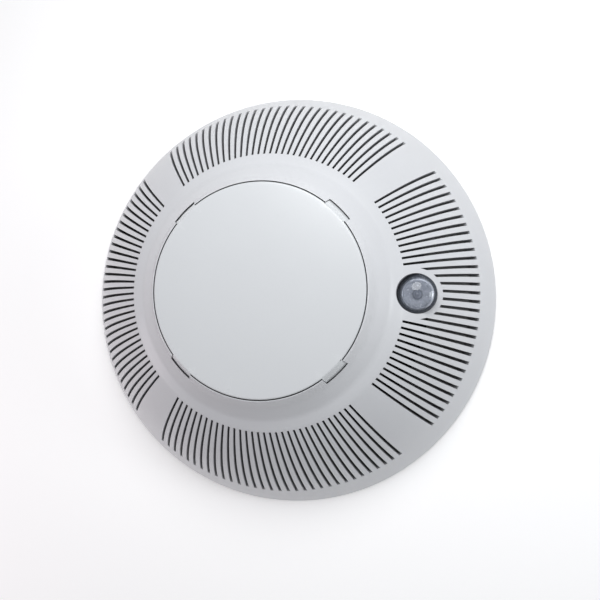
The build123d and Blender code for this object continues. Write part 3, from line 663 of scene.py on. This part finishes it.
# ---------------------------------------------------------------------------
# Insect screen: woven gauze on two hoops
# ---------------------------------------------------------------------------
def add_wire(verts, faces, points):
    """A four-sided wire along a path of points."""
    first = len(verts)
    for i, p in enumerate(points):
        along = (points[min(i + 1, len(points) - 1)] - points[max(i - 1, 0)]).normalized()
        outward = Vector((p.x, p.y, 0)).normalized()
        side = along.cross(outward).normalized()
        up = side.cross(along)
        verts.extend(p + (side * x + up * y) * SCREEN_WIRE for x, y in ((1, 0), (0, 1), (-1, 0), (0, -1)))
    for i in range(len(points) - 1):
        a = first + 4 * i
        faces.extend([a + j, a + (j + 1) % 4, a + 4 + (j + 1) % 4, a + 4 + j] for j in range(4))
    faces.append([first + j for j in range(4)])
    last = first + 4 * (len(points) - 1)
    faces.append([last + 3 - j for j in range(4)])


def near_lamp(p):
    """True where the gauze has to leave room for the lamp's socket."""
    return hypot(p.x - LAMP_X, p.y) < SCREEN_OPENING and p.z > SOCKET_Z - 3


def clear_runs(points):
    """The stretches of a path that keep clear of the lamp."""
    runs = [[]]
    for p in points:
        if near_lamp(p):
            runs.append([])
        else:
            runs[-1].append(p)
    return [run for run in runs if len(run) > 1]


def weave_paths(foot, crown):
    """The paths of the upright wires and then of the round ones, each over and under the others."""
    slope = (crown - foot).normalized()
    normal = Vector((slope.y, -slope.x))
    turn = 2 * pi / SCREEN_UPRIGHTS

    def point(u, k, lift):
        r, z = foot + (crown - foot) * u + normal * lift
        return Vector((r * cos(turn * k), r * sin(turn * k), z))

    paths = []
    half_steps = 2 * SCREEN_HOOPS
    for k in range(SCREEN_UPRIGHTS):
        lifts = [SCREEN_WEAVE * (-1) ** (k + i // 2) * (i % 2) for i in range(half_steps + 1)]
        paths.append([point(i / half_steps, k, lift) for i, lift in enumerate(lifts)])
    for h in range(SCREEN_HOOPS + 1):
        lifts = [-SCREEN_WEAVE * (-1) ** (k + h) for k in range(SCREEN_UPRIGHTS + 1)]
        paths.append([point(h / SCREEN_HOOPS, k, lift) for k, lift in enumerate(lifts)])
    return paths


def screen_piece():
    """A cone of woven wire between a foot hoop and a crown hoop, open where the lamp passes."""
    low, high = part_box("insect_screen")
    foot = Vector((SCREEN_FOOT_R, low.z / MM + 0.2))
    crown = Vector((SCREEN_CROWN_R, high.z / MM - 0.2))
    verts, faces = [], []
    for path in weave_paths(foot, crown):
        for run in clear_runs(path):
            add_wire(verts, faces, run)
    piece = mesh_object("screen_gauze", verts, faces)

    def hoop_outline(r, z):
        return [(r - 0.5, z - 0.4), (r + 0.35, z - 0.4), (r + 0.35, z + 0.4), (r - 0.5, z + 0.4)]

    foot_hoop = lathe("foot_hoop", hoop_outline(foot.x - 0.1, foot.y + 0.3), 144)
    gap = 2 * degrees(asin(SCREEN_OPENING / 2 / crown.x))
    crown_hoop = fan("crown_hoop", hoop_outline(crown.x, crown.y - 0.3), gap, 360 - 2 * gap, 136)
    return joined("insect_gauze", [piece, foot_hoop, crown_hoop])


# ---------------------------------------------------------------------------
# Materials
# ---------------------------------------------------------------------------
class Shader:
    """A short way to write a node material."""

    def __init__(self, name):
        self.material = bpy.data.materials.new(name)
        self.material.use_nodes = True
        self.tree = self.material.node_tree
        self.surface = self.tree.nodes["Principled BSDF"]
        self.place = self.node("ShaderNodeTexCoord").outputs["Object"]

    def node(self, kind, **settings):
        """A new node with some of its settings."""
        made = self.tree.nodes.new(kind)
        for key, value in settings.items():
            setattr(made, key, value)
        return made

    def link(self, source, target):
        self.tree.links.new(source, target)

    def noise(self, scale, detail=4.0):
        """Cloudy noise with about this many lumps to a metre."""
        made = self.node("ShaderNodeTexNoise")
        made.inputs["Scale"].default_value = scale
        made.inputs["Detail"].default_value = detail
        made.inputs["Roughness"].default_value = 0.55
        self.link(self.place, made.inputs["Vector"])
        return made.outputs["Fac"]

    def remap(self, source, low, high, from_low=0.0, from_high=1.0):
        """Stretch a value from one range to another."""
        made = self.node("ShaderNodeMapRange")
        made.inputs["From Min"].default_value = from_low
        made.inputs["From Max"].default_value = from_high
        made.inputs["To Min"].default_value = low
        made.inputs["To Max"].default_value = high
        self.link(source, made.inputs["Value"])
        return made.outputs["Result"]

    def mixed_colour(self, fac, a, b):
        """Colour a, going over to colour b as fac rises to 1. The colour sockets are numbers 6 and 7."""
        made = self.node("ShaderNodeMix", data_type="RGBA")
        self.feed(made.inputs[0], fac)
        self.feed(made.inputs[6], a)
        self.feed(made.inputs[7], b)
        return made.outputs[2]

    def math(self, operation, a, b=0.0):
        """Two values added, subtracted or multiplied."""
        made = self.node("ShaderNodeMath", operation=operation)
        self.feed(made.inputs[0], a)
        self.feed(made.inputs[1], b)
        return made.outputs[0]

    def feed(self, socket, value):
        """Link a socket to an output, or give it a number or a colour."""
        if hasattr(value, "is_output"):
            self.link(value, socket)
        elif isinstance(value, tuple) and len(value) == 3:
            socket.default_value = (*value, 1.0)
        else:
            socket.default_value = value

    def bump(self, height, strength, distance, below=None):
        """A normal for bumps of a height in millimetres, on top of another normal if one is given."""
        made = self.node("ShaderNodeBump")
        made.inputs["Strength"].default_value = strength
        made.inputs["Distance"].default_value = distance * MM
        self.link(height, made.inputs["Height"])
        if below is not None:
            self.link(below, made.inputs["Normal"])
        return made.outputs["Normal"]

    def crevice(self, distance):
        """1 on open surfaces, falling towards 0 in gaps and inside corners."""
        made = self.node("ShaderNodeAmbientOcclusion", samples=8)
        made.inputs["Distance"].default_value = distance * MM
        return made.outputs["AO"]

    def edges(self):
        """1 on raised edges, 0 elsewhere."""
        made = self.node("ShaderNodeNewGeometry")
        return self.remap(made.outputs["Pointiness"], 0.0, 1.0, 0.505, 0.56)

    def set(self, **values):
        """Set inputs of the surface, each named with underscores for spaces."""
        for key, value in values.items():
            self.feed(self.surface.inputs[key.replace("_", " ")], value)


def scaled(colour, factor, lift=0.0):
    """A lighter or darker version of a colour."""
    return tuple(min(1.0, c * factor + lift) for c in colour)


def moulded(name, colour, rough=0.42, grain=0.35, gloss=0.0, tint=0.03, depth=0.72):
    """Injection-moulded plastic: fine spark texture, faint cloudy colour, scuffed edges, painted shade in
    gaps and hollows.
    """
    s = Shader(name)
    cloud = s.noise(38.0, 3.0)
    fleck = s.noise(900.0, 2.0)
    base = s.mixed_colour(cloud, scaled(colour, 1 - tint), scaled(colour, 1 + tint))
    base = s.mixed_colour(s.remap(fleck, 0.0, 0.10, 0.55, 0.8), base, scaled(colour, 0.86))
    # Painted shade: the colour turns grey where the occlusion mask finds a narrow gap or an inside corner.
    gap = s.math("SUBTRACT", 1.0, s.crevice(1.2))
    base = s.mixed_colour(s.math("MULTIPLY", gap, 0.25), base, (0.34, 0.33, 0.32))
    wear = s.math("MULTIPLY", s.edges(), 0.3)
    base = s.mixed_colour(wear, base, scaled(colour, 1.06, 0.02))
    # Painted shade: surfaces deep inside the object go nearly black, as strongly as 'depth' sets.
    inside = s.remap(s.crevice(16.0), 1.0, 0.0, 0.12, 0.45)
    base = s.mixed_colour(s.math("MULTIPLY", inside, depth), base, (0.02, 0.02, 0.022))
    roughness = s.remap(s.noise(160.0), rough - 0.05, rough + 0.06)
    roughness = s.math("ADD", roughness, s.math("MULTIPLY", wear, -0.12))
    fine = s.bump(s.noise(6500.0, 2.0), grain, 0.012)
    wavy = s.bump(s.noise(55.0, 2.0), 0.25, 0.06, fine)
    s.set(Base_Color=base, Roughness=roughness, Normal=wavy, Coat_Weight=gloss, Coat_Roughness=0.18)
    s.surface.inputs["IOR"].default_value = 1.5
    return s.material


def plain_plastic(name, colour, rough=0.4):
    """Small moulded or dipped parts."""
    s = Shader(name)
    grain, tint = 0.3, 0.12
    base = s.mixed_colour(s.noise(300.0), scaled(colour, 1 - tint), scaled(colour, 1 + tint))
    base = s.mixed_colour(s.math("MULTIPLY", s.edges(), 0.3), base, scaled(colour, 1.3, 0.04))
    roughness = s.remap(s.noise(700.0), rough - 0.07, rough + 0.08)
    s.set(Base_Color=base, Roughness=roughness, Normal=s.bump(s.noise(5000.0, 2.0), grain, 0.01))
    return s.material


def metal(name, colour, rough):
    """Plated, rolled or drawn metal with fine scratches."""
    s = Shader(name)
    stretch = s.node("ShaderNodeMapping")
    stretch.inputs["Scale"].default_value = (1.0, 0.06, 0.3)
    s.link(s.place, stretch.inputs["Vector"])
    scratch = s.node("ShaderNodeTexNoise")
    scratch.inputs["Scale"].default_value = 2500.0
    scratch.inputs["Detail"].default_value = 3.0
    s.link(stretch.outputs["Vector"], scratch.inputs["Vector"])
    lines = scratch.outputs["Fac"]
    base = s.mixed_colour(s.noise(220.0), scaled(colour, 0.92), colour)
    base = s.mixed_colour(s.math("MULTIPLY", s.edges(), 0.4), base, scaled(colour, 1.2))
    roughness = s.remap(lines, rough - 0.08, rough + 0.12)
    s.set(Base_Color=base, Metallic=1.0, Roughness=roughness, Normal=s.bump(lines, 0.3, 0.006))
    return s.material


def clear_plastic(name):
    """Thin clear polycarbonate: mostly see-through, with a reflection that grows at glancing angles."""
    s = Shader(name)
    sheen = s.node("ShaderNodeFresnel")
    sheen.inputs["IOR"].default_value = 1.5
    clear = s.node("ShaderNodeBsdfTransparent")
    clear.inputs["Color"].default_value = (0.95, 0.96, 0.98, 1.0)
    haze = s.node("ShaderNodeBsdfDiffuse")
    haze.inputs["Color"].default_value = (0.52, 0.58, 0.70, 1.0)
    gloss = s.node("ShaderNodeBsdfGlossy")
    s.link(s.remap(s.noise(400.0), 0.01, 0.05), gloss.inputs["Roughness"])
    s.link(s.bump(s.noise(260.0, 2.0), 0.25, 0.02), gloss.inputs["Normal"])
    hazy = s.node("ShaderNodeMixShader")
    hazy.inputs[0].default_value = 0.10
    s.link(clear.outputs[0], hazy.inputs[1])
    s.link(haze.outputs[0], hazy.inputs[2])
    blend = s.node("ShaderNodeMixShader")
    s.link(sheen.outputs[0], blend.inputs[0])
    s.link(hazy.outputs[0], blend.inputs[1])
    s.link(gloss.outputs[0], blend.inputs[2])
    s.link(blend.outputs[0], s.tree.nodes["Material Output"].inputs["Surface"])
    return s.material


def chrome(name):
    """Vacuum-metallised plastic: bright, with a little ripple and fine dust."""
    s = Shader(name)
    ripple = s.bump(s.noise(520.0, 2.0), 0.7, 0.09)
    dust = s.remap(s.noise(3000.0, 2.0), 0.0, 0.3, 0.6, 0.75)
    base = s.mixed_colour(dust, (0.93, 0.94, 0.96), (0.66, 0.67, 0.69))
    s.set(Base_Color=base, Metallic=0.6, Roughness=s.remap(s.noise(900.0), 0.16, 0.34), Normal=ripple)
    return s.material


def emitter(name):
    """A lamp chip under its phosphor: rings of darker and lighter epoxy."""
    s = Shader(name)
    offset = s.node("ShaderNodeMapping")
    offset.inputs["Location"].default_value = (-LAMP_X * MM, 0.0, 0.0)
    s.link(s.place, offset.inputs["Vector"])
    rings = s.node("ShaderNodeTexWave", wave_type="RINGS", rings_direction="Z")
    rings.inputs["Scale"].default_value = 480.0
    rings.inputs["Distortion"].default_value = 0.6
    s.link(offset.outputs["Vector"], rings.inputs["Vector"])
    base = s.mixed_colour(rings.outputs["Fac"], (0.02, 0.022, 0.03), (0.16, 0.17, 0.20))
    s.set(Base_Color=base, Roughness=s.remap(s.noise(800.0), 0.12, 0.25), Coat_Weight=1.0)
    s.set(Normal=s.bump(rings.outputs["Fac"], 0.4, 0.05))
    return s.material


def board(name):
    """Solder mask over copper tracks."""
    s = Shader(name)
    tracks = s.node("ShaderNodeTexVoronoi", feature="DISTANCE_TO_EDGE", distance="CHEBYCHEV")
    tracks.inputs["Scale"].default_value = 210.0
    s.link(s.place, tracks.inputs["Vector"])
    line = s.remap(tracks.outputs["Distance"], 1.0, 0.0, 0.05, 0.09)
    base = s.mixed_colour(line, (0.012, 0.055, 0.030), (0.030, 0.120, 0.060))
    base = s.mixed_colour(s.math("MULTIPLY", s.noise(90.0), 0.3), base, (0.008, 0.035, 0.020))
    s.set(Base_Color=base, Roughness=s.remap(s.noise(600.0), 0.22, 0.36), Coat_Weight=0.4)
    s.set(Normal=s.bump(line, 0.5, 0.03))
    return s.material


def winding(name):
    """Enamelled copper wire wound in a coil."""
    s = Shader(name)
    wave = s.node("ShaderNodeTexWave", bands_direction="Z")
    wave.inputs["Scale"].default_value = 900.0
    s.link(s.place, wave.inputs["Vector"])
    base = s.mixed_colour(wave.outputs["Fac"], (0.20, 0.06, 0.02), (0.72, 0.30, 0.13))
    s.set(Base_Color=base, Metallic=0.8, Roughness=s.remap(s.noise(900.0), 0.25, 0.4))
    s.set(Normal=s.bump(wave.outputs["Fac"], 0.9, 0.1))
    return s.material


def gauze(name):
    """Black-coated wire with a little dust on it."""
    s = Shader(name)
    dust = s.remap(s.noise(500.0), 0.0, 0.6, 0.5, 0.8)
    base = s.mixed_colour(dust, (0.012, 0.012, 0.013), (0.05, 0.048, 0.045))
    roughness = s.remap(s.noise(900.0), 0.45, 0.65)
    s.set(Base_Color=base, Roughness=roughness, Normal=s.bump(s.noise(4000.0), 0.4, 0.01))
    return s.material


def floor_material():
    """White paper that glows a little, so that the floor stays pale all round."""
    s = Shader("studio_paper")
    base = s.mixed_colour(s.noise(3.0, 2.0), (0.90, 0.90, 0.90), (0.93, 0.93, 0.93))
    s.set(Base_Color=base, Roughness=s.remap(s.noise(40.0), 0.75, 0.85), Emission_Color=(1.0, 1.0, 1.0))
    s.surface.inputs["Emission Strength"].default_value = 0.32
    return s.material


def finishes():
    """The material of each slot of the record."""
    return {
        # Every moulded finish carries painted shade in its gaps and hollows; 'depth' sets how dark the
        # hollows go.
        "cover_white": moulded("cover_white", (0.69, 0.70, 0.72), 0.40, 0.30, 0.10),
        "cap_white": moulded("cap_white", (0.70, 0.72, 0.735), 0.30, 0.12, 0.22, 0.02),
        "base_white": moulded("base_white", (0.64, 0.64, 0.63), 0.48, 0.55, depth=0.35),
        "plate_white": moulded("plate_white", (0.62, 0.62, 0.61), 0.50, 0.60),
        "terminal_grey": plain_plastic("terminal_grey", (0.12, 0.125, 0.13)),
        "screw_steel": metal("screw_steel", (0.62, 0.62, 0.63), 0.30),
        "contact_bronze": metal("contact_bronze", (0.72, 0.50, 0.27), 0.28),
        "wire_red": plain_plastic("wire_red", (0.52, 0.05, 0.04), 0.35),
        "wire_white": plain_plastic("wire_white", (0.70, 0.69, 0.66), 0.38),
        "screen_black": gauze("screen_black"),
        "spring_steel": metal("spring_steel", (0.55, 0.55, 0.56), 0.22),
        "lens_clear": clear_plastic("lens_clear"),
        "reflector_chrome": chrome("reflector_chrome"),
        "led_yellow": emitter("led_yellow"),
        "holder_grey": plain_plastic("holder_grey", (0.045, 0.048, 0.055)),
        "board_green": board("board_green"),
        "pin_tin": metal("pin_tin", (0.70, 0.68, 0.64), 0.3),
        "switch_black": plain_plastic("switch_black", (0.02, 0.02, 0.02)),
        "plunger_white": plain_plastic("plunger_white", (0.66, 0.66, 0.64)),
        "sounder_black": plain_plastic("sounder_black", (0.02, 0.02, 0.022), 0.45),
        "sounder_brass": metal("sounder_brass", (0.78, 0.58, 0.28), 0.25),
        "sounder_ceramic": plain_plastic("sounder_ceramic", (0.70, 0.70, 0.68), 0.5),
        "cell_sleeve": plain_plastic("cell_sleeve", (0.05, 0.09, 0.22), 0.25),
        "thermistor_bead": plain_plastic("thermistor_bead", (0.05, 0.03, 0.02), 0.18),
        "relay_case": plain_plastic("relay_case", (0.03, 0.05, 0.13), 0.3),
        "chip_black": plain_plastic("chip_black", (0.015, 0.015, 0.016), 0.5),
        "capacitor_sleeve": plain_plastic("capacitor_sleeve", (0.02, 0.025, 0.04), 0.22),
        "resistor_black": plain_plastic("resistor_black", (0.03, 0.03, 0.03), 0.35),
        "diode_black": plain_plastic("diode_black", (0.02, 0.02, 0.02), 0.25),
        "arrester_blue": plain_plastic("arrester_blue", (0.03, 0.10, 0.32), 0.2),
        "ferrite_grey": plain_plastic("ferrite_grey", (0.06, 0.06, 0.065), 0.55),
        "coil_copper": winding("coil_copper"),
    }


# ---------------------------------------------------------------------------
# Putting the object together
# ---------------------------------------------------------------------------
MATERIALS = finishes()
SLOT_OF = {part["node"]: part["material_slot"] for part in frame["record"]["subparts"]}
BODY_OF = {node: body for body, nodes in frame["record"]["behaviour"]["bodies"].items() for node in nodes}


def dress(obj, slot):
    """Give an object the material of a slot, and nothing else."""
    obj.data.materials.clear()
    obj.data.materials.append(MATERIALS[slot])


def stand_in(piece, node):
    """A piece takes a CAD node's place, body and finish."""
    dress(piece, SLOT_OF[node])
    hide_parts(node)
    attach(piece, BODY_OF[node])


def finish_cad_node(name, obj):
    """A CAD part that keeps its shape gets softened edges and its own material."""
    dress(obj, SLOT_OF[name])
    weld = obj.modifiers.new("Weld", "WELD")
    weld.merge_threshold = 0.002 * MM
    soften(obj, EDGE_OF.get(name, 0.08), 30)


# Edge rounding in mm. The CAD parts that aren't listed get finish_cad_node's usual 0.08 mm.
EDGE_OF = {"mounting_plate": 0.25, "base_shell": 0.22, "terminal_block": 0.15, "relay": 0.2,
           "resistors": 0.05, "microcontroller": 0.03, "thermistor_leads": 0.0}

stand_in(front_cover(), "front_cover")
stand_in(centre_cap(), "centre_cap")
stand_in(lens_piece(), "lens")
stand_in(reflector_piece(), "lamp_reflector")
stand_in(screen_piece(), "insect_screen")
springs = cap_springs()
stand_in(springs, "cap_springs")
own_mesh(springs)
for node_name, node_object in frame["nodes"].items():
    if not node_object.hide_render:
        finish_cad_node(node_name, node_object)


# ---------------------------------------------------------------------------
# Stage, light and camera
# ---------------------------------------------------------------------------
VIEW_TILT = 12.2            # degrees between the line of sight and the object's axis
VIEW_AZIMUTH = -13.0        # degrees from the lamp, about the axis
VIEW_ROLL = 1.2
VIEW_DISTANCE = 3.3         # cover radii
FOCAL_LENGTH = 39.7
SHIFT = (0.0212, -0.0044)
FLOOR_SIZE = 4000.0


def floor():
    """A flat slab just under the object."""
    ground = prism("floor", box_points(FLOOR_SIZE, FLOOR_SIZE, 0, 0), -20.0, -0.05)
    ground.data.materials.append(floor_material())


def area_light(name, place, size, power, colour):
    """A round lamp that points at the object's origin. Place and size are in metres."""
    data = bpy.data.lights.new(name, "AREA")
    data.shape = "DISK"
    data.size = size
    data.energy = power
    data.color = colour
    lamp = bpy.data.objects.new(name, data)
    bpy.context.scene.collection.objects.link(lamp)
    lamp.location = place
    lamp.rotation_mode = "QUATERNION"
    lamp.rotation_quaternion = (-Vector(place)).to_track_quat("-Z", "Y")


def world_light():
    """Even, slightly blue light from all round."""
    world = bpy.data.worlds.new("studio")
    bpy.context.scene.world = world
    world.use_nodes = True
    back = world.node_tree.nodes["Background"]
    back.inputs["Color"].default_value = (0.96, 0.97, 1.0, 1.0)
    back.inputs["Strength"].default_value = 0.31


def camera():
    """The photo's point of view, above the object's face."""
    data = bpy.data.cameras.new("camera")
    data.lens = FOCAL_LENGTH
    data.sensor_width = 36.0
    data.shift_x, data.shift_y = SHIFT
    data.clip_start = 0.01
    obj = bpy.data.objects.new("camera", data)
    bpy.context.scene.collection.objects.link(obj)
    tilt, azimuth, roll = radians(VIEW_TILT), radians(VIEW_AZIMUTH), radians(VIEW_ROLL)
    back = Vector((sin(tilt) * cos(azimuth), sin(tilt) * sin(azimuth), cos(tilt)))
    up = Vector((-sin(roll), cos(roll), 0.0))
    right = up.cross(back).normalized()
    true_up = back.cross(right)
    turn = Matrix((right, true_up, back)).transposed()
    place = back * COVER_R * MM * VIEW_DISTANCE + Vector((0, 0, RIM_Z * MM))
    obj.matrix_world = Matrix.Translation(place) @ turn.to_4x4()
    bpy.context.scene.camera = obj


floor()
area_light("key", (0.030, 0.120, 0.225), 0.15, 0.36, (0.98, 0.99, 1.0))
area_light("side", (0.30, 0.0, 0.20), 0.11, 0.20, (0.94, 0.97, 1.0))
area_light("fill", (-0.30, -0.12, 0.14), 0.14, 0.16, (1.0, 0.82, 0.88))
world_light()
camera()
bpy.context.scene.view_settings.view_transform = "Standard"
